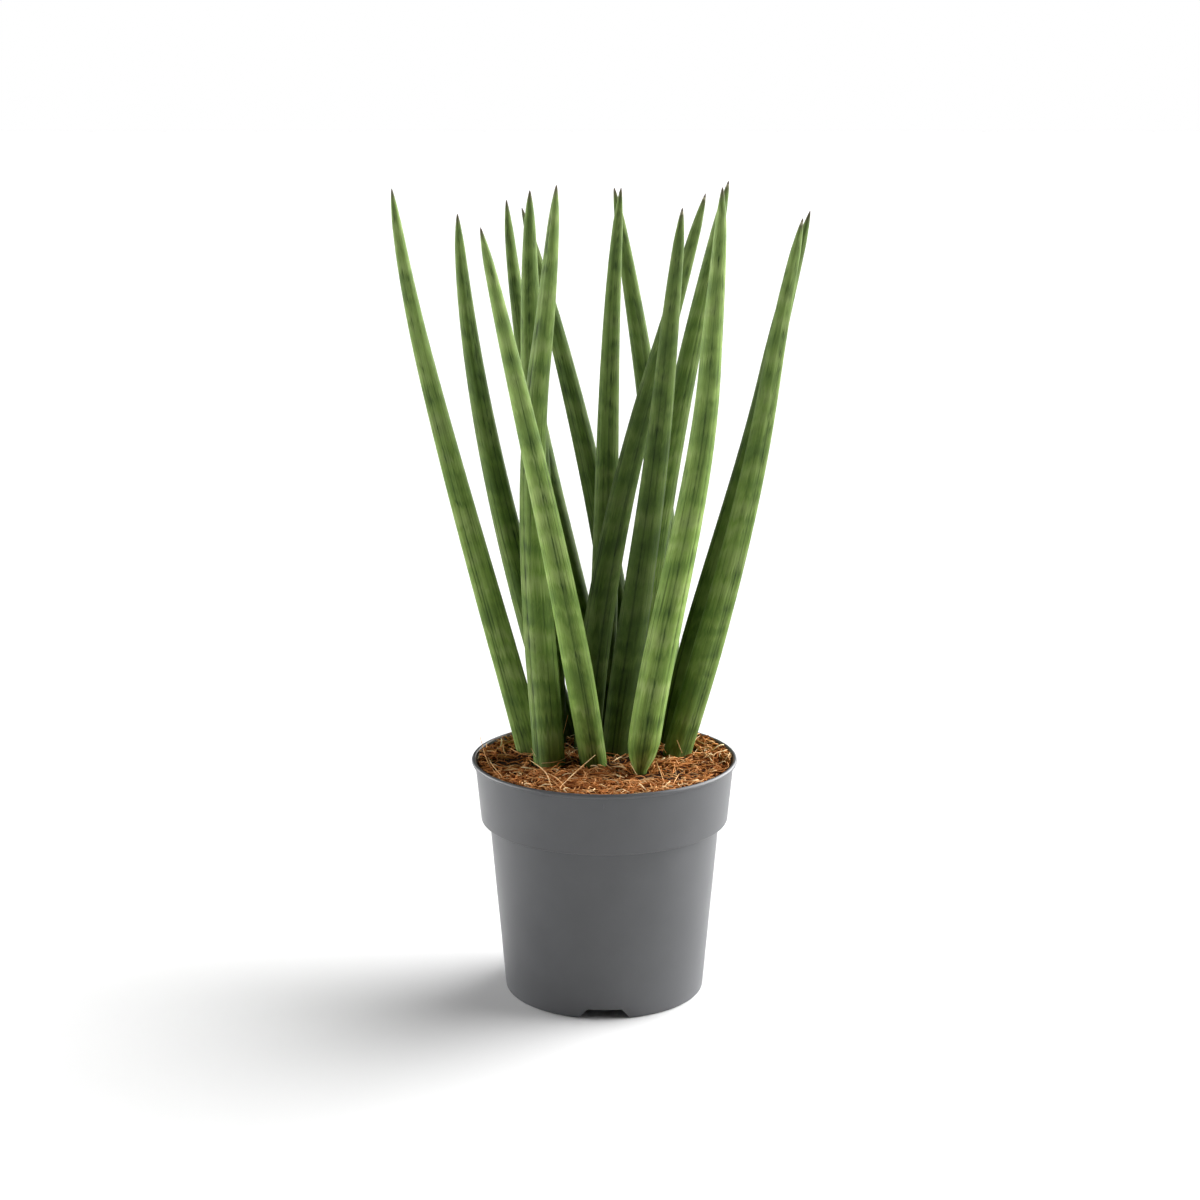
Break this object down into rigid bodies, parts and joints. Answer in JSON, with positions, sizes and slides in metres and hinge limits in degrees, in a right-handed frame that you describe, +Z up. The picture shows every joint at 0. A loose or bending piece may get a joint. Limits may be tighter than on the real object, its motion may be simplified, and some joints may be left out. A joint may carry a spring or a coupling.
{
  "type": "cylindrical snake plant",
  "caption": "Potted succulent with round, tapering, pointed upright leaves that stand separately in coir-topped soil, in a plain plastic grower's pot with a wider collar.",
  "frame": {"origin": "centre of the pot's flat underside, on the pot's axis, where it rests on the floor", "axes": "+Z up along the pot's axis, -Y towards the side seen in the picture, where one drainage channel opens at the foot of the pot"},
  "size_m": [0.1848, 0.1507, 0.3655],
  "materials": {
    "pot_plastic": "satin",
    "coir_soil": "matte",
    "leaf_skin": "satin"
  },
  "bodies": {
    "root": {"pot": "pot_plastic", "soil": "coir_soil", "leaf_01": "leaf_skin", "leaf_02": "leaf_skin", "leaf_03": "leaf_skin", "leaf_04": "leaf_skin", "leaf_05": "leaf_skin", "leaf_06": "leaf_skin", "leaf_07": "leaf_skin", "leaf_08": "leaf_skin", "leaf_09": "leaf_skin", "leaf_10": "leaf_skin", "leaf_11": "leaf_skin", "leaf_12": "leaf_skin", "leaf_13": "leaf_skin", "leaf_14": "leaf_skin", "leaf_15": "leaf_skin"}
  },
  "joints": []
}
